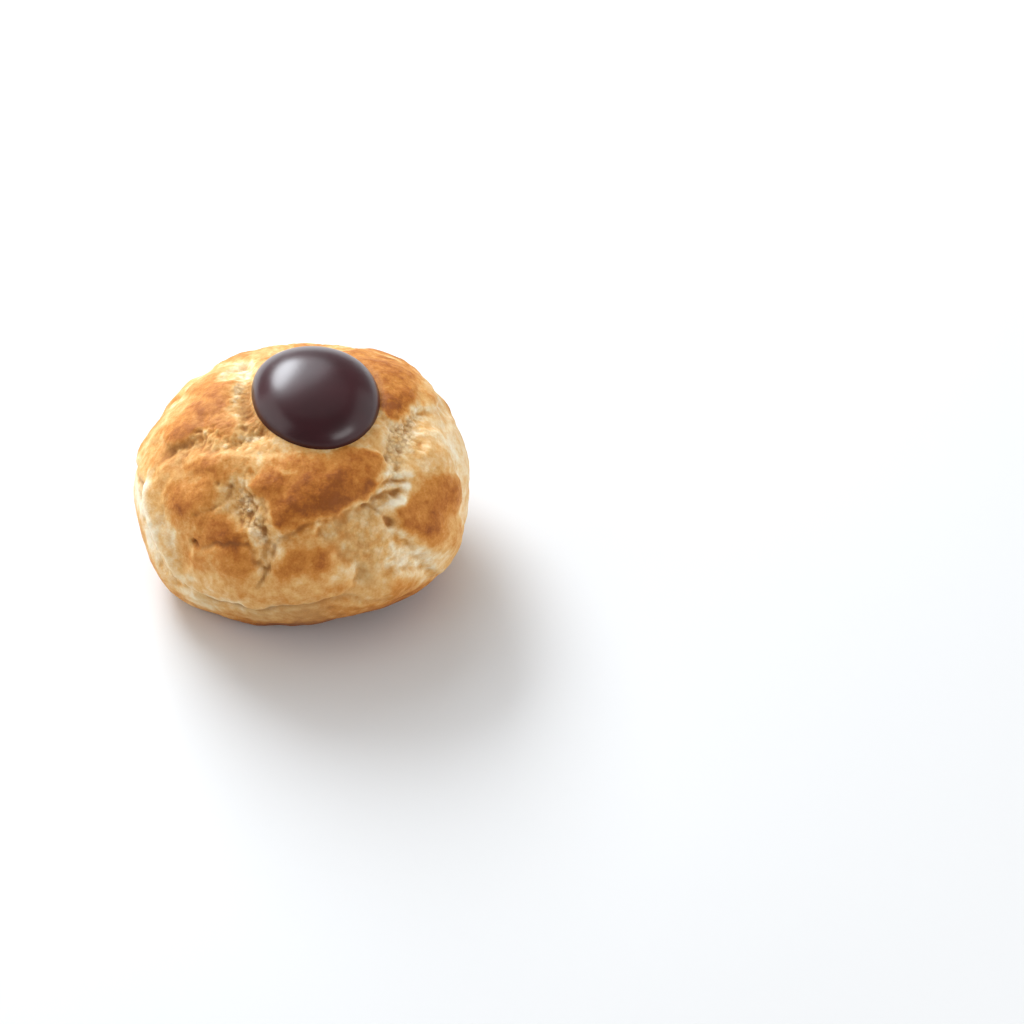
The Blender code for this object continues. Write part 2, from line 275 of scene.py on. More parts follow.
crustForm = {
    # browned plates: turn, rise, half length, half width, lean, lift, browning
    "plates": [
        (-97, 50, 7.1, 5.1, 27, 0.8, 0.74), (-83, 39, 6.0, 4.7, 16, 0.8, 0.56),
        (-66, 53, 6.5, 3.6, 10, 0.4, 0.56), (-100, 30, 6.5, 5.0, 0, 0.7, 0.54),
        (-46, 38, 5.2, 2.9, 12, 1.1, 0.70), (-41, 44, 2.6, 2.0, 3, 1.0, 0.60),
        (-46, 25, 6.8, 4.6, 24, 1.5, 0.68), (-46, 17, 4.6, 2.6, 21, 1.1, 0.56),
        (-27, 20.5, 5.6, 3.0, 2, 1.2, 0.86), (-19, 22, 2.2, 1.9, -4, 1.1, 0.66),
        (-24, 10, 6.6, 4.0, 18, 1.7, 0.68), (-22, 0, 8.4, 3.9, 7, 1.7, 0.46),
        (4, 14, 5.4, 3.4, 9, 1.6, 0.74), (5, 4, 7.2, 3.9, 6, 1.6, 0.43),
        (-11, 41, 6.1, 3.2, -15, 1.2, 0.84), (-1, 32, 5.0, 3.9, -77, 1.3, 0.88),
        (17, 40, 6.7, 5.0, 3, 1.3, 0.90), (36, 41, 6.3, 4.5, 5, 1.2, 0.80),
        (20, 48, 11.0, 2.9, -14, 1.0, 0.76), (-27, 46, 4.0, 2.6, 0, 0.7, 0.50),
        (62, 18, 7.4, 4.8, -32, 1.2, 0.79), (52, 14, 7.1, 4.3, -43, 1.3, 0.82),
        (60, 3, 8.3, 4.1, -56, 1.2, 0.52), (76, 24, 6.1, 3.5, -12, 1.1, 0.40),
        (77, 30, 3.8, 1.7, -6, 1.0, 0.50), (84, 46, 4.2, 2.8, -14, 1.0, 1.00),
        (95, 50, 4.4, 2.2, -16, 1.0, 0.86), (121, 44, 9.8, 7.5, -10, 1.1, 0.78),
        (143, 44, 9.5, 4.2, -39, 1.1, 0.72), (114, 30, 9.3, 3.3, -40, 1.0, 0.55),
        (-156, 44, 10.4, 2.9, 72, 0.9, 0.54), (-62, 16, 5.2, 2.5, -73, 0.8, 0.42),
        (-49, 3, 4.0, 2.9, -50, 0.8, 0.42), (41, -8, 4.9, 2.7, -29, 0.8, 0.54),
        (62, -11, 10.1, 2.3, -53, 0.8, 0.34), (142, 18, 8.6, 6.0, 15, 1.2, 0.76),
        (172, 44, 7.5, 4.5, -20, 1.1, 0.72), (178, 14, 8.6, 6.4, -10, 1.3, 0.74),
        (-150, 18, 8.0, 6.0, 20, 1.2, 0.78), (-128, 12, 7.0, 5.5, -15, 1.1, 0.70),
        (-122, 36, 6.5, 5.0, 20, 1.0, 0.68), (-103, 14, 6.5, 5.0, 10, 0.6, 0.60),
        (97, 10, 6.0, 5.5, -15, 0.5, 0.46), (118, -2, 7.0, 4.5, 10, 1.1, 0.62),
        (155, -5, 8.0, 4.0, -5, 1.0, 0.56), (-165, -6, 8.5, 4.0, 5, 1.0, 0.56),
        (-125, -10, 8.0, 4.0, -10, 1.0, 0.52), (92, -9, 6.0, 3.5, 5, 0.5, 0.52),
        (157, 31, 6.0, 4.0, 35, 1.0, 0.62), (-168, 33, 6.5, 3.6, -30, 1.0, 0.66),
        (-141, 34, 6.0, 4.5, 10, 1.0, 0.74), (120, 14, 6.0, 4.0, -30, 0.9, 0.64),
    ],
    "platePower": 2.4,
    "plateEdge": (-0.7, 0.8),
    "domeEdge": (-1.1, 3.2),
    "domeShare": 0.65,
    # raised lip of a plate: how far inside its edge, half width, height, how much paler
    "lip": (0.5, 0.7, 0.12, 0.09),
    "plateBlend": 1.7,
    "plateFloor": -9.0,  # depth in millimetres that stands for far outside a plate
    "plateAngle": 1.4,  # radians from a plate's middle where it no longer counts
    "browningEdge": (-1.2, 0.9),
    "fray": (3.0, 1.2, 65),
    # tears: strokes through turn, rise, half width
    "tears": [
        [(-32, 63, 1.6), (-43, 54, 1.5), (-61, 47, 1.5), (-66, 36, 1.6), (-68, 30, 0.8)],
        [(-134, 54, 1.4), (-102, 62, 2.5), (-62, 65, 1.9)],
        [(-24, 44, 1.2), (-28, 34, 1.6), (-18, 28, 2.3), (-11, 21, 1.7), (-8, 13, 1.2), (-10, 6, 0.4)],
        [(-4, 22, 1.0), (5, 27, 1.6), (15, 24, 1.9), (25, 24, 2.5)],
        [(101, 34, 1.6), (85, 40, 3.0), (65, 41, 2.9), (52, 36, 2.3), (40, 30, 2.2), (29, 25, 2.7)],
        [(29, 25, 2.7), (20, 16, 2.3), (22, 5, 2.0)],
        [(27, 18, 3.4), (37, 7, 4.1), (49, -5, 3.0)],
        [(44, 28, 1.7), (55, 28, 1.4), (68, 26, 0.6)],
        [(-72, 8, 1.3), (-64, 2, 1.8), (-56, -5, 2.0), (-48, -11, 2.1)],
        [(160, 62, 1.4), (163, 40, 2.2), (158, 30, 2.4), (160, 10, 2.0), (150, 4, 1.2)],
        [(-172, 48, 1.4), (-170, 32, 2.4), (-163, 20, 1.8), (-160, 4, 2.2), (-150, 0, 1.2)],
        [(-138, 50, 1.8), (-140, 30, 2.4), (-136, 24, 2.2), (-140, 8, 1.6)],
        [(-136, 24, 1.8), (-126, 22, 1.6), (-118, 24, 0.8)],
        [(118, 22, 1.2), (122, 14, 2.2), (128, 4, 1.6)],
    ],
    "tearDepth": 0.75,
    "tearEdge": (-1.3, 1.5),
    "plateOverTear": 0.45,
    # cracks: half width, depth, points of turn and rise
    "cracks": [
        (0.40, 0.5, [(-40, 22.5), (-37.5, 24), (-34, 26.5), (-32, 29.5)]),
        (0.60, 0.3, [(-32, 29.5), (-31, 33.5), (-30.5, 37)]),
        (0.45, 0.7, [(-37.5, 13), (-35, 12), (-31.5, 14), (-28.5, 17), (-25.5, 17), (-23, 18.5),
                     (-17, 18.5)]),
        (0.45, 0.6, [(-17, 18.5), (-14.5, 16.5), (-13, 13.5), (-11.5, 11), (-9.5, 10), (-10.5, 7),
                     (-12, 4.5)]),
        (0.50, 0.6, [(-9.5, 10), (-8, 14), (-7.5, 16.5), (-7, 20), (-5, 22)]),
        (0.60, 0.4, [(-5, 22), (-1, 24), (4, 27), (9, 28)]),
        (0.90, 0.18, [(-60.5, 22), (-56, 17.5), (-52.5, 13), (-48.5, 8), (-45, 4), (-41.5, 1), (-38, 0)]),
        (0.55, 0.5, [(36, 29.5), (41, 29), (43.5, 28.5), (47.5, 27.5)]),
        (0.50, 0.35, [(42, 34), (45.5, 33), (52, 29.5)]),
        (0.50, 0.6, [(31, 29), (34, 27.5), (36, 24.5), (37, 22)]),
        (0.50, 0.45, [(170, -2), (178, 4), (188, 2)]),
        (0.50, 0.50, [(130, 8), (136, 2), (146, 0)]),
        (0.50, 0.50, [(-118, 20), (-112, 10), (-114, 2)]),
    ],
    # share of a crack's depth that is left along it: its mean, its noise and its range
    "crackMean": 0.85,
    "crackNoise": [(2.5, 1.6, 57)],
    "crackRange": (0.25, 1.3),
    # raised strips: half width, height, browning, points of turn and rise
    "strips": [
        (1.2, 0.6, 0.12, [(-71, 21), (-65, 14), (-58.5, 9.5)]),
        (1.2, 0.8, 0.26, [(-58.5, 9.5), (-54, 3.5), (-49, 0), (-44, -2.5), (-39, -3.5)]),
        (1.0, 0.5, 0.24, [(-39, -3.5), (-35.5, -7.5), (-29.5, -9), (-22, -7.5)]),
        (0.8, 0.35, 0.16, [(41, 31), (46, 30.5), (52, 28)]),
        (0.8, 0.35, 0.14, [(37, 25), (42, 25.5), (47, 24.5)]),
        (0.8, 0.3, 0.14, [(42, 36), (49, 35), (56, 31)]),
    ],
    # side seam: turn, rise, strength, browning below it
    "seam": [
        (-180, -12, 0.6, 0.35), (-150, -14, 0.7, 0.40), (-120, -6, 0.6, 0.40), (-95, 6, 0.25, 0.30),
        (-70, 14, 0.8, 0.04), (-54, 2, 1.2, 0.0), (-43, -6, 1.5, 0.12), (-36, -10.5, 1.8, 0.30),
        (-31, -13, 1.5, 0.36), (-20, -12.5, 1.0, 0.48), (-4, -8, 0.7, 0.62), (13, -5, 0.6, 0.62),
        (30, -9, 0.3, 0.72), (60, -16, 0.3, 0.70), (95, -14, 0.5, 0.35), (130, -10, 0.6, 0.40),
        (160, -12, 0.7, 0.35),
    ],
    "seamHalfWidth": 1.0,
    "seamDepth": 1.0,
    "skirtStep": 0.6,
    "skirtRun": 2.5,
    # pits: turn, rise, radius, depth
    "pits": [
        (38, 20, 0.8, 0.9), (37, 21, 0.6, 0.6), (-37.5, 13, 0.5, 0.7), (-36, 12, 0.4, 0.5),
        (-60.5, 2.5, 0.4, 0.6), (-54.5, -4.5, 0.4, 0.5), (-18.5, 28.5, 0.5, 0.3), (-25.5, 29.5, 0.4, 0.3),
        (-11, 24.5, 0.5, 0.35), (-69.5, 44.5, 0.6, 0.35), (-49, 59.5, 0.8, 0.4), (-77.5, 32, 0.5, 0.35),
        (-63, 35.5, 0.5, 0.3), (-36.5, 35.5, 0.4, 0.5), (-32, 36, 0.4, 0.5), (62, 38, 0.5, 0.4),
        (160, 24, 0.7, 0.4), (-168, 26, 0.6, 0.4), (-138, 18, 0.6, 0.4), (124, 10, 0.6, 0.4),
        (-112, 24, 0.5, 0.4),
    ],
    # crumbly zones: turn, rise, radius, strength
    "crumbly": [
        (-62, 50, 13.0, 1.0), (-70, 32, 8.0, 0.8), (-18, 27, 5.5, 1.6), (-28, 45, 4.5, 1.0),
        (72, 38, 9.0, 0.8), (180, 25, 20.0, 0.7),
    ],
    # greyish patches of painted shade: turn, rise, radius, strength
    "shadePatches": [
        (26, 4, 3.0, 0.7), (18, 25, 2.5, 0.6), (30, 28, 3.0, 0.6), (22, 16, 4.0, 0.5), (1, -9, 6.0, 0.8),
        (-17, -13, 5.0, 0.7), (-35, -13, 3.5, 0.8), (-47, -5, 3.0, 0.3), (61, 40, 4.0, 0.6),
        (-16, 26, 3.0, 0.4), (160, 20, 5.0, 0.5), (-140, 15, 5.0, 0.5), (-62, 53, 7.0, 0.65),
        (-67, 35, 5.0, 0.55), (-104, 40, 5.0, 0.35),
    ],
    # paler or browner areas: turn, rise, radius, change of browning
    "tints": [
        (-124, 24, 9.0, -0.16), (26, 4, 3.0, 0.08), (-80, 18, 4.0, 0.06), (-137, 44, 5.0, -0.14),
        (-80, 12, 8.0, -0.06), (-65, 8, 5.0, -0.10), (-60, -3, 4.0, -0.20), (-62, 50, 9.0, 0.19),
        (-72, 34, 6.0, 0.28), (92, 18, 8.0, -0.15), (78, 6, 6.0, -0.13), (116, 18, 8.0, -0.10),
        (19, 23, 6.0, 0.22), (32, 13, 4.0, 0.10), (42, 35, 2.2, 0.30), (38, 1, 4.0, -0.13),
        (53, -1, 4.0, -0.12), (-38, -19, 4.0, -0.10), (-50, 36, 5.0, -0.07), (-49, 23, 3.0, 0.06),
        (39, -11, 4.0, 0.22), (-13, 0, 5.0, 0.13), (6, -2, 6.0, 0.12), (-31, -5, 2.5, -0.15),
        (-20, -7, 2.5, -0.16), (-8, -6, 2.5, -0.14), (-9, -13, 3.0, -0.12), (-29, -23, 2.5, 0.22),
        (-48, 16, 2.5, 0.14), (-39, 7, 2.5, 0.20), (-70, 10, 2.5, 0.14), (-57, 7, 4.0, -0.04),
        (88, 46, 4.0, 0.10), (-39, -11, 3.0, 0.28), (-46, -11, 2.5, -0.06), (-24, 23.5, 3.0, 0.12),
        (13, 45, 4.0, 0.05), (119, 41, 5.0, 0.08),
    ],
    # uneven swelling: size of a bump, height, seed
    "unevenness": [(11.0, 0.9, 5), (4.5, 0.4, 9)],
    # soft folds in the tears: turn and rise that they run along, size, height, seed
    "folds": [(153, 25, 2.2, 0.5, 106), (153, 25, 1.2, 0.2, 107)],
    # crumb: sizes, heights and seeds of its grains and of the noise over them
    "crumbGrains": [(1.6, 0.30, 101), (1.0, 0.46, 102)],
    "grainMean": 0.65,
    "crumbNoise": [(1.6, 0.25, 105)],
    "crumbHeight": (0.14, 0.80),  # in any tear, and added in a crumbly zone
    "blisters": [(2.4, 0.16, 103), (1.1, 0.12, 104)],
    # how rough the skirt, the crust between plates and a crumbly zone are, where a tear is 1
    "skirtRough": 0.30,
    "bareRough": 0.40,
    "crumblyRough": 0.55,
    "sunkRounds": 12,
    "sunkDepth": 0.35,
    # pushes along the crust: size, reach in millimetres, seed
    "wander": [(7.0, 2.0, 11), (2.6, 0.7, 31), (1.2, 0.45, 41)],
    "crackWander": [(3.0, 0.5, 51), (1.3, 0.35, 55)],
    # mottled browning: everywhere, on smooth crust and on rough crust
    "mottles": [(5.0, 0.08, 61), (2.0, 0.11, 62), (1.0, 0.14, 63)],
    "smoothMottles": [(4.5, 0.22, 9)],
    "roughMottles": [(1.6, 0.30, 64)],
    "blisterBrowning": 0.7,
    # painted shade: rough crust browner where it is sunk below its surroundings
    "sunkShade": 0.20,
    # browner towards the foot, partly browning from the tray and partly painted shade at the base:
    # millimetres below the seam, browning
    "footEdge": (4, 10),
    "footBrowningAndShade": 0.5,
    # share of a hollow's painted shade that cracks, the seam, sunk rough crust and sunk crumb make
    "hollowShadeShares": (1.1, 0.75, 0.6, 0.4),
    "hollowShadeStart": 0.1,
    # how much fainter the painted shade patches are on plates
    "plateOverShadePatch": 0.8,
    "pitPower": 2.5,
    "spotPower": 2,
    "paleCrust": 0.43,
    "tornCrust": 0.27,
    "turnSteps": 520,
    "riseSteps": 188,
    # share of the rows, rise that they reach: few rows under the glaze and the foot
    "rowPlan": [(0.0, 90), (0.05, 62), (0.94, -46), (1.0, -90)],
    "glazeCover": (0.96, 1.10),
}


def ballRadius(d):
    # superellipsoid through the half width, half depth and heights, plus Gaussian swells
    f = ballForm
    flat = np.hypot(d[..., 0] / f["halfWidth"], d[..., 1] / f["halfDepth"])
    height = np.where(d[..., 2] > 0, f["crownRise"], f["bellyDrop"])
    p = f["squareness"]
    radius = (flat**p + np.abs(d[..., 2] / height) ** p) ** (-1 / p)
    for turn, rise, spread, swell in f["swells"]:
        angle = np.degrees(np.arccos(np.clip(d @ direction(turn, rise), -1, 1)))
        radius = radius + swell * np.exp(-((angle / spread) ** 2))
    return radius


def browned(d):
    # a soft union of leaning superellipses: depth inside it, and the lift and browning there
    f = crustForm
    floor = f["plateFloor"]
    total = np.full(d.shape[:-1], np.exp(floor * f["plateBlend"]))
    lifted = np.zeros(d.shape[:-1])
    brown = np.zeros(d.shape[:-1])
    for turn, rise, halfLength, halfWidth, lean, lift, browning in f["plates"]:
        along, up = tangents(turn, rise)
        angle = np.arccos(np.clip(d @ direction(turn, rise), -1, 1))
        stretch = crustRadius * angle / np.maximum(np.sin(angle), 1e-6)
        u, v = stretch * (d @ along), stretch * (d @ up)
        c, s = np.cos(np.radians(lean)), np.sin(np.radians(lean))
        x, y = np.abs(u * c + v * s) / halfLength, np.abs(v * c - u * s) / halfWidth
        share = (x ** f["platePower"] + y ** f["platePower"]) ** (1 / f["platePower"])
        depth = np.where(angle < f["plateAngle"], (1 - share) * halfWidth, floor)
        weight = np.exp(f["plateBlend"] * np.maximum(depth, floor))
        total += weight
        lifted += weight * lift
        brown += weight * browning
    return np.log(total) / f["plateBlend"], lifted / total, brown / total


def strokeDepth(d, path, halfWidths):
    # half width of the nearest stretch of a path less the distance to it
    deepest = np.full(d.shape[:-1], -2 * crustRadius)
    for a, b, wideA, wideB in zip(path[:-1], path[1:], halfWidths[:-1], halfWidths[1:]):
        t = np.clip((d - a) @ (b - a) / ((b - a) @ (b - a)), 0, 1)
        away = crustRadius * np.linalg.norm(d - a - t[..., None] * (b - a), axis=-1)
        deepest = np.maximum(deepest, wideA + (wideB - wideA) * t - away)
    return deepest


def tornDepth(d):
    # the deepest of the tears' strokes
    deepest = np.full(d.shape[:-1], -2 * crustRadius)
    for stroke in crustForm["tears"]:
        turns, rises, halfWidths = np.array(stroke, float).T
        deepest = np.maximum(deepest, strokeDepth(d, direction(turns, rises), halfWidths))
    return deepest


def crackDepth(d):
    # Gaussian grooves along the lines, broken up by noise
    f = crustForm
    depth = np.zeros(d.shape[:-1])
    for halfWidth, deep, line in f["cracks"]:
        turns, rises = np.array(line, float).T
        away = strokeDepth(d, direction(turns, rises), np.zeros(len(line)))
        depth = np.maximum(depth, deep * np.exp(-((away / halfWidth) ** 2)))
    return depth * np.clip(f["crackMean"] + layered(d, f["crackNoise"]), *f["crackRange"])


def raisedStrips(d):
    # rounded ridges along the lines: their height, how much of one is here, and its browning
    height, share, brown = np.zeros(d.shape[:-1]), np.zeros(d.shape[:-1]), np.zeros(d.shape[:-1])
    for halfWidth, high, browning, line in crustForm["strips"]:
        turns, rises = np.array(line, float).T
        away = strokeDepth(d, direction(turns, rises), np.zeros(len(line)))
        here = np.exp(-((away / halfWidth) ** 2))
        height = np.maximum(height, high * here)
        brown = np.where(here > share, browning, brown)
        share = np.maximum(share, here)
    return height, share, brown


def patches(d, spots, power):
    # the highest of round spots: turn, rise, radius, height
    highest = np.zeros(d.shape[:-1])
    for turn, rise, radius, height in spots:
        away = crustRadius * np.linalg.norm(d - direction(turn, rise), axis=-1)
        highest = np.maximum(highest, height * np.exp(-((away / radius) ** power)))
    return highest


def tinted(d):
    # sum of Gaussian spots
    change = np.zeros(d.shape[:-1])
    for turn, rise, radius, height in crustForm["tints"]:
        away = crustRadius * np.linalg.norm(d - direction(turn, rise), axis=-1)
        change = change + height * np.exp(-((away / radius) ** 2))
    return change


def seamPlace(d):
    # distance below the side seam in millimetres, its strength there and the browning below it
    turns, rises, strengths, brown = np.array(crustForm["seam"], float).T
    turn = np.degrees(np.arctan2(d[..., 0], -d[..., 1]))
    rise = np.degrees(np.arcsin(np.clip(d[..., 2], -1, 1)))
    below = np.radians(np.interp(turn, turns, rises, period=360) - rise) * crustRadius
    return below, np.interp(turn, turns, strengths, period=360), np.interp(turn, turns, brown, period=360)


def bakeCrust(d):
    # height over the ball: plates, strips and crumb less tears, cracks, pits, seam and skirt;
    # with it what the material reads: browning, how torn and crumbly the crust is, and painted shade in
    # hollows and in grey shaded patches
    f = crustForm
    moved, ragged = wander(d, f["wander"]), wander(d, f["crackWander"])
    inside, lift, plateBrown = browned(moved)
    onPlate = smooth(inside, *f["plateEdge"])
    torn = smooth(tornDepth(moved), *f["tearEdge"]) * (1 - f["plateOverTear"] * onPlate)
    cracks = crackDepth(ragged)
    pits = patches(ragged, f["pits"], f["pitPower"])
    below, strength, skirtBrown = seamPlace(moved)
    groove = np.exp(-((below / f["seamHalfWidth"]) ** 2)) * strength
    skirt = smooth(below, 0, f["skirtRun"])
    lipPlace, lipHalfWidth, lipHeight, lipPaler = f["lip"]
    lip = np.exp(-(((inside - lipPlace) / lipHalfWidth) ** 2)) * (1 - skirt)

    dome = (1 - f["domeShare"]) * onPlate + f["domeShare"] * smooth(inside, *f["domeEdge"])
    raised, onStrip, stripBrown = raisedStrips(wander(d, f["wander"][1:]))
    relief = lift * dome + raised - f["tearDepth"] * torn - cracks - pits + lipHeight * lip
    relief = relief - f["seamDepth"] * groove - f["skirtStep"] * skirt * strength
    relief = relief + layered(d, f["unevenness"])

    # crumb in the tears, small blisters on the plates
    crumbly = patches(d, f["crumbly"], f["spotPower"])
    crumb = layered(d, f["crumbNoise"])
    for size, height, seed in f["crumbGrains"]:
        crumb = crumb + height * (grains(ragged, size, seed) - f["grainMean"])
    crumb = crumb * (f["crumbHeight"][0] + f["crumbHeight"][1] * crumbly)
    blisters = layered(d, f["blisters"])
    rough = torn + f["skirtRough"] * skirt + f["bareRough"] * (1 - onPlate) + f["crumblyRough"] * crumbly
    rough = np.clip(rough, 0, 1)
    relief = relief + rough * crumb + (1 - rough) * blisters + torn * folds(d)
    sunk = np.clip((softened(relief, f["sunkRounds"]) - relief) / f["sunkDepth"], -1, 1)

    frayed = inside + layered(d, [f["fray"]])
    browning = np.maximum(plateBrown * smooth(frayed, *f["browningEdge"]), f["paleCrust"])
    browning = browning * (1 - skirt) + skirtBrown * skirt
    browning = browning * (1 - torn) + f["tornCrust"] * torn
    browning = browning * (1 - onStrip) + stripBrown * onStrip
    browning = browning + (1 - rough) * (layered(d, f["smoothMottles"]) + f["blisterBrowning"] * blisters)
    # rough crust mottled, and browner where sunk as painted shade
    browning = browning + rough * (layered(d, f["roughMottles"]) + f["sunkShade"] * sunk)
    browning = browning + layered(d, f["mottles"]) - lipPaler * lip
    # browner towards the foot: partly browning, partly painted shade at the base
    browning = browning + f["footBrowningAndShade"] * smooth(below, *f["footEdge"]) + tinted(moved)
    # painted shade: hollows get a darker colour where cracks, pits, the seam's groove and sunk rough crust
    # lie
    ofCrack, ofSeam, ofRough, ofCrumb = f["hollowShadeShares"]
    hollow = ofCrack * cracks + pits + ofSeam * groove + (ofRough + ofCrumb * crumbly) * rough * sunk
    return relief, {
        "browning": browning,
        "torn": torn,
        "hollow": np.clip(hollow - f["hollowShadeStart"], 0, 1),
        # painted shade: greyish shaded patches, fainter on plates
        "dull": patches(moved, f["shadePatches"], f["spotPower"]) * (1 - f["plateOverShadePatch"] * onPlate),
        "crumbly": crumbly * torn,
    }


def glazeAxes():
    # unit vectors of its middle, its length and its width, turned by its lean
    along, up = tangents(glazeForm["turn"], glazeForm["rise"])
    c, s = np.cos(np.radians(glazeForm["lean"])), np.sin(np.radians(glazeForm["lean"]))
    return direction(glazeForm["turn"], glazeForm["rise"]), along * c + up * s, up * c - along * s


def glazeOutline(angle):
    # an oval with a small three-sided wobble
    f = glazeForm
    long, wide = f["halfLength"], f["halfWidth"]
    oval = long * wide / np.hypot(wide * np.cos(angle), long * np.sin(angle))
    pushed = f["wobble"] * np.cos(3 * angle)
    for place, spread, share in f["outlineSwells"]:
        away = (np.degrees(angle) - place + 180) % 360 - 180
        pushed = pushed + share * np.exp(-((away / spread) ** 2))
    return oval * (1 + pushed)


def glazeShare(d):
    # how far out from the glaze's middle, as a share of its outline
    middle, length, width = glazeAxes()
    ahead = np.maximum(d @ middle, glazeForm["leastAhead"])
    u, v = ballForm["crownRise"] * (d @ length) / ahead, ballForm["crownRise"] * (d @ width) / ahead
    return np.hypot(u, v) / glazeOutline(np.arctan2(v, u))


def placed(d, radius):
    # direction times radius, from the ball's centre
    return d * radius[..., None] + np.array([0, 0, ballForm["centreHeight"]])


def flatFoot(points):
    # below the foot pressed flat, with a parabola that rounds its edge
    r = ballForm["footRounding"]
    z = points[..., 2]
    z = np.where(z < r, np.where(z > -r, (z + r) ** 2 / (4 * r), 0.0), z)
    return np.concatenate([points[..., :2], z[..., None]], -1)


def makeBun():
    # rings of directions pushed out to the ball's radius plus the crust, which stays smooth under glaze
    f = crustForm
    shares, rises = np.array(f["rowPlan"]).T
    rise = np.interp(np.linspace(0, 1, f["riseSteps"] + 2)[1:-1], shares, rises)
    turn = np.arange(f["turnSteps"]) * 360 / f["turnSteps"]
    d = direction(turn[None, :], rise[:, None] + 0 * turn[None, :])
    relief, fields = bakeCrust(d)
    bare = smooth(glazeShare(d), *f["glazeCover"])
    points = flatFoot(placed(d, ballRadius(d) + bare * relief))
    crown = [0, 0, ballForm["centreHeight"] + ballRadius(np.array([0.0, 0.0, 1.0]))]
    bun = closedRings("bakedBun", points, crown, [0, 0, 0])
    for name, field in fields.items():
        pointValues(bun, name, np.concatenate([field.ravel(), field[:1, 0], field[-1:, 0]]))
    return bun


crustLook = {
    # grain: size of its bumps in millimetres, detail, roughness
    "fineGrain": (0.45, 3.0, 0.6),
    "coarseGrain": (1.6, 3.0, 0.6),
    "pores": (0.3, 2.0, 0.6),
    "crumbSize": 0.8,
    # how much browning, fine grain and coarse grain move the colour
    "levelShares": (0.98, 0.34, 0.32),
    # browning and the colour on screen that it gives
    "colours": [
        (0.00, (245, 232, 204)),
        (0.20, (234, 206, 160)),
        (0.42, (221, 171, 104)),
        (0.65, (200, 131, 55)),
        (0.85, (172, 100, 29)),
        (1.00, (142, 76, 18)),
    ],
    # painted shade in the gaps between crumbs: where it begins and is full, and how much fine grain frays it
    "crumbShadeEdge": (0.35, 0.75),
    "crumbShadeGrain": 0.6,
    "crumbShadeAmount": (0.14, 0.5),  # in any tear, and added in a crumbly zone
    "crumbShadeColour": (156, 106, 58),
    # painted shade: how far shaded patches go towards a greyish colour, and that colour
    "shadePatchAmount": 0.55,
    "shadePatchColour": (176, 150, 104),
    # painted shade: how far hollows are darkened, and the colour they go towards
    "hollowShadeAmount": 0.75,
    "hollowShadeColour": (142, 90, 42),
    # height of fine grain and of pores, and depth of the gaps between crumbs
    "bumpShares": (0.35, 0.20, 0.4),
    "bumpReach": 0.30,
    # of whole crust, and what a tear and fine grain add
    "roughness": (0.66, 0.2, 0.1),
    "scatter": 0.10,
    "scatterRadius": (1.0, 0.45, 0.18),
    "scatterScale": 0.6,
    "specular": 0.28,
}


def crustFinish():
    # colour by browning with grain over it; painted shade darkens it in the gaps between crumbs and in
    # hollows and greys it in shaded patches
    look = crustLook
    f = finish("bakedCrust")
    names = ("browning", "torn", "hollow", "dull", "crumbly")
    browning, torn, hollow, dull, crumbly = (f.attribute(name) for name in names)
    fine, coarse = f.grain(*look["fineGrain"]), f.grain(*look["coarseGrain"])
    ofBrowning, ofFine, ofCoarse = look["levelShares"]
    level = browning * ofBrowning + fine * ofFine + coarse * ofCoarse
    stops = [(place, screen(*colour)) for place, colour in look["colours"]]
    colour = f.add("ShaderNodeValToRGB", {"stops": stops}, {"Fac": level})
    crumbs = f.add("ShaderNodeTexVoronoi", {}, {"Vector": f.place, "Scale": 1 / look["crumbSize"]})
    # painted shade: the gaps between crumbs darkened, mostly in tears and crumbly zones
    crumbShade = f.between(*look["crumbShadeEdge"], crumbs + fine * look["crumbShadeGrain"]) * torn * torn
    anyTear, addedCrumb = look["crumbShadeAmount"]
    colour = f.mixed(crumbShade * (anyTear + crumbly * addedCrumb), colour, screen(*look["crumbShadeColour"]))
    # painted shade: greyer in shaded patches
    colour = f.mixed(dull * look["shadePatchAmount"], colour, screen(*look["shadePatchColour"]))
    # painted shade: darker in hollows
    colour = f.mixed(hollow * look["hollowShadeAmount"], colour, screen(*look["hollowShadeColour"]))
    pores = f.grain(*look["pores"])
    fineHigh, poresHigh, gapsDeep = look["bumpShares"]
    height = fine * fineHigh + pores * poresHigh - crumbs * crumbs * torn * gapsDeep
    whole, ofTorn, ofGrain = look["roughness"]
    f.shade(
        Base_Color=colour,
        Roughness=whole + torn * ofTorn + fine * ofGrain,
        Normal=f.bump(height, look["bumpReach"]),
        Subsurface_Weight=look["scatter"],
        Subsurface_Radius=look["scatterRadius"],
        Subsurface_Scale=look["scatterScale"] * mm,
        Specular_IOR_Level=look["specular"],
    )
    return f.material


glazeForm = {
    "turn": 110,
    "rise": 82.0,
    "lean": -5,
    "halfLength": 16.0,
    "halfWidth": 12.0,
    "wobble": 0.012,
    # angle from its length, spread in degrees, share pushed out
    "outlineSwells": [(123, 32, 0.035)],
    "thickness": 5.4,
    "seatDepth": 0.5,  # how far its underside sinks into the crust
    "domePower": 2.3,
    "domeRoot": 0.5,
    "upright": 0.7,  # how far its thickness turns from its own slant towards straight up
    "seatPower": 8,
    "leastAhead": 0.2,  # keeps its outline finite for directions that face away from it
    "ringSteps": 110,
    "turnSteps": 240,
}


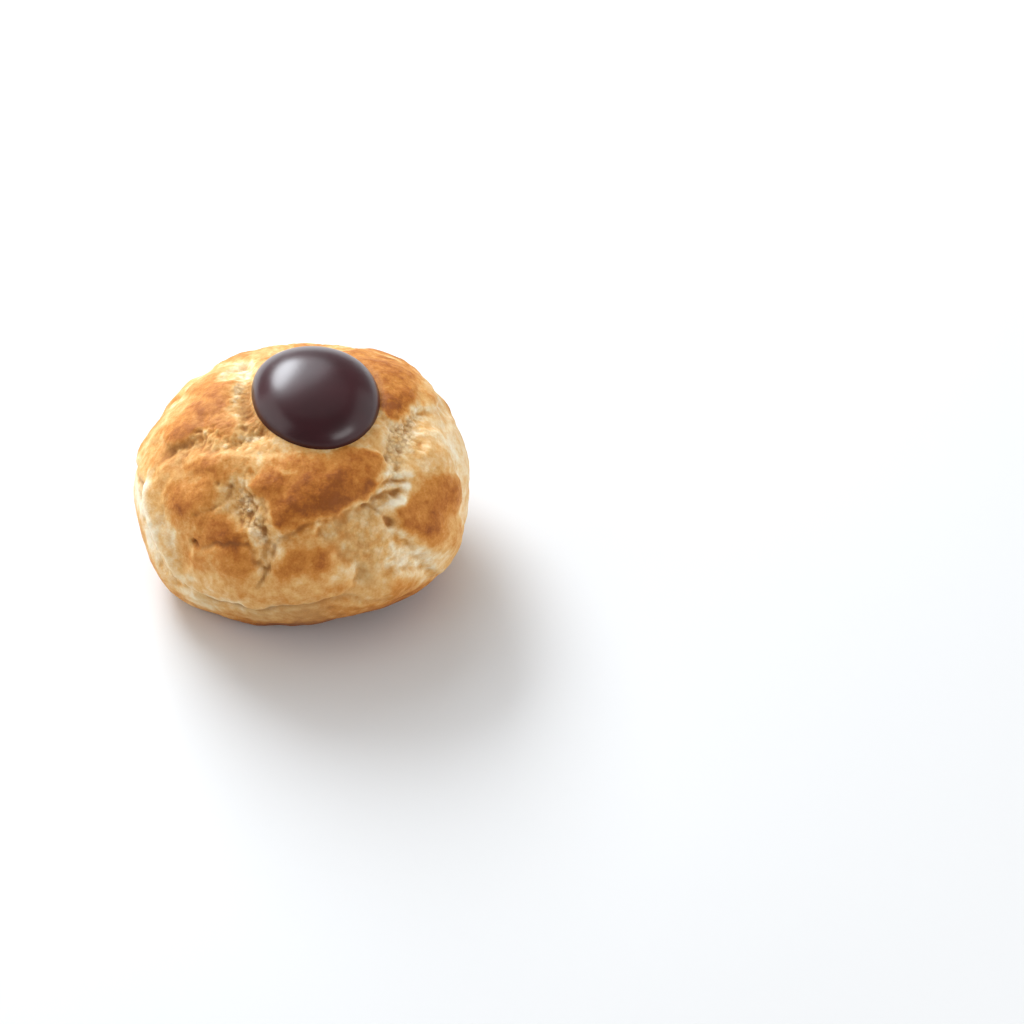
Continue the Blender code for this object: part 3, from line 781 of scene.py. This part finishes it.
def makeGlaze():
    # a dome (1 - share^power)^root over the crown, closed by an underside just inside the crust
    f = glazeForm
    middle, length, width = glazeAxes()
    angle = np.arange(f["turnSteps"]) * 2 * np.pi / f["turnSteps"]
    polar = np.linspace(0, np.pi, f["ringSteps"] + 2)[1:-1, None]
    share = np.sin(polar) + 0 * angle
    reach = share * glazeOutline(angle)
    flat = reach[..., None] * (np.cos(angle)[:, None] * length + np.sin(angle)[:, None] * width)
    d = ballForm["crownRise"] * middle + flat
    d /= np.linalg.norm(d, axis=-1, keepdims=True)
    dome = f["thickness"] * (1 - share ** f["domePower"]) ** f["domeRoot"]
    height = np.where(polar < np.pi / 2, dome, -f["seatDepth"] * (1 - share ** f["seatPower"]))
    upward = (1 - f["upright"]) * middle + f["upright"] * np.array([0, 0, 1])
    upward /= np.linalg.norm(upward)
    points = placed(d, ballRadius(d)) + height[..., None] * upward
    seat = placed(middle, ballRadius(middle))
    top, under = seat + f["thickness"] * upward, seat - f["seatDepth"] * upward
    return closedRings("chocolateGlazeSpot", points, top, under)


glazeLook = {
    # swirls: size in millimetres, detail, roughness, and the range that goes from dark to light
    "swirl": (7.0, 2.0, 0.5),
    "swirlEdge": (-0.3, 0.3),
    "roughness": (0.42, 0.08),  # its mean, and what the swirls add
    "darkColour": (46, 8, 15),
    "lightColour": (56, 14, 22),
    "coat": 0.76,
    "coatRoughness": 0.28,
    "specular": 0.05,
    "bumpReach": 0.25,
}


def glazeFinish():
    # dark chocolate in soft swirls under a clear coat
    look = glazeLook
    f = finish("chocolateGlaze")
    swirl = f.grain(*look["swirl"])
    dark, light = screen(*look["darkColour"]), screen(*look["lightColour"])
    mean, added = look["roughness"]
    f.shade(
        Base_Color=f.mixed(f.between(*look["swirlEdge"], swirl), dark, light),
        Roughness=mean + swirl * added,
        Coat_Weight=look["coat"],
        Coat_Roughness=look["coatRoughness"],
        Specular_IOR_Level=look["specular"],
        Normal=f.bump(swirl, look["bumpReach"]),
    )
    return f.material


studio = {
    "elevation": 43.0,
    "distance": 800.0,
    "imageWidth": 1024,
    "mmPerPixel": 0.1862,
    "aimRight": 38.72,
    "aimUp": 6.95,
    "sensor": 36.0,
    "nearClip": 10.0,
    "worldStrength": 0.30,
    "tableSize": 3000.0,
    "tableColour": (218, 218, 218),
    "tableRoughness": 0.6,
    "lightAim": 30.0,  # height that the lights point at
    # name, shape, azimuth from +Y to +X, height, roll in degrees, distance, width, height in mm, watts
    "lights": [
        ("backLight", "ELLIPSE", -28, 35, 35, 560, 420, 210, 3.3),
        ("backGlow", "ELLIPSE", -24, 42, 25, 580, 720, 440, 1.9),
        ("topLight", "ELLIPSE", -14, 74, 0, 620, 1100, 900, 0.9),
        ("rightLight", "RECTANGLE", 84, 14, 0, 700, 900, 600, 1.35),
        ("leftLight", "RECTANGLE", -96, 18, 0, 700, 900, 700, 3.1),
        ("frontCard", "RECTANGLE", 130, 17, 0, 480, 300, 150, 0.7),
    ],
    "coolLights": ("backLight", "backGlow"),
    "coolTint": (0.90, 0.95, 1.0),
}


def makeStudio():
    # camera that looks down at its elevation, soft lights round the bun and a pale table
    scene = bpy.context.scene
    e = np.radians(studio["elevation"])
    back, up = Vector((0, -np.cos(e), np.sin(e))), Vector((0, np.sin(e), np.cos(e)))
    aim = Vector((studio["aimRight"], 0, 0)) + up * studio["aimUp"]
    camera = bpy.data.objects.new("camera", bpy.data.cameras.new("camera"))
    camera.location = (aim + back * studio["distance"]) * mm
    camera.rotation_euler = (np.pi / 2 - e, 0, 0)
    camera.data.sensor_width = studio["sensor"]
    frameWidth = studio["imageWidth"] * studio["mmPerPixel"]
    camera.data.lens = studio["sensor"] * studio["distance"] / frameWidth
    camera.data.clip_start = studio["nearClip"] * mm
    scene.collection.objects.link(camera)
    scene.camera = camera

    world = bpy.data.worlds.new("softRoom")
    world.use_nodes = True
    world.node_tree.nodes["Background"].inputs["Color"].default_value = (1, 1, 1, 1)
    world.node_tree.nodes["Background"].inputs["Strength"].default_value = studio["worldStrength"]
    scene.world = world
    scene.view_settings.view_transform = "Standard"

    # lights stand round the bun and face it
    for name, shape, azimuth, height, roll, distance, wide, high, power in studio["lights"]:
        lamp = bpy.data.lights.new(name, "AREA")
        lamp.shape = shape
        lamp.size, lamp.size_y = wide * mm, high * mm
        lamp.energy = power
        if name in studio["coolLights"]:
            lamp.color = studio["coolTint"]
        light = bpy.data.objects.new(name, lamp)
        away = Vector(direction(180 - azimuth, height)) * distance * mm
        light.location = away + Vector((0, 0, studio["lightAim"] * mm))
        rolled = Quaternion((0, 0, 1), np.radians(roll))
        light.rotation_euler = (away.to_track_quat("Z", "Y") @ rolled).to_euler()
        scene.collection.objects.link(light)

    half = studio["tableSize"] * mm / 2
    mesh = bpy.data.meshes.new("table")
    corners = [(-half, -half, 0), (half, -half, 0), (half, half, 0), (-half, half, 0)]
    mesh.from_pydata(corners, [], [(0, 1, 2, 3)])
    table = bpy.data.objects.new("table", mesh)
    scene.collection.objects.link(table)
    plain = finish("paleTable")
    plain.shade(Base_Color=screen(*studio["tableColour"]), Roughness=studio["tableRoughness"])
    mesh.materials.append(plain.material)


makeStudio()
print("camera, lights and table made")

bun = makeBun()
bun.data.materials.append(crustFinish())
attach(bun, "root")
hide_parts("bun")
print("bun made:", len(bun.data.polygons), "faces")

glaze = makeGlaze()
glaze.data.materials.append(glazeFinish())
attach(glaze, "root")
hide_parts("chocolate_glaze")
print("glaze made:", len(glaze.data.polygons), "faces")
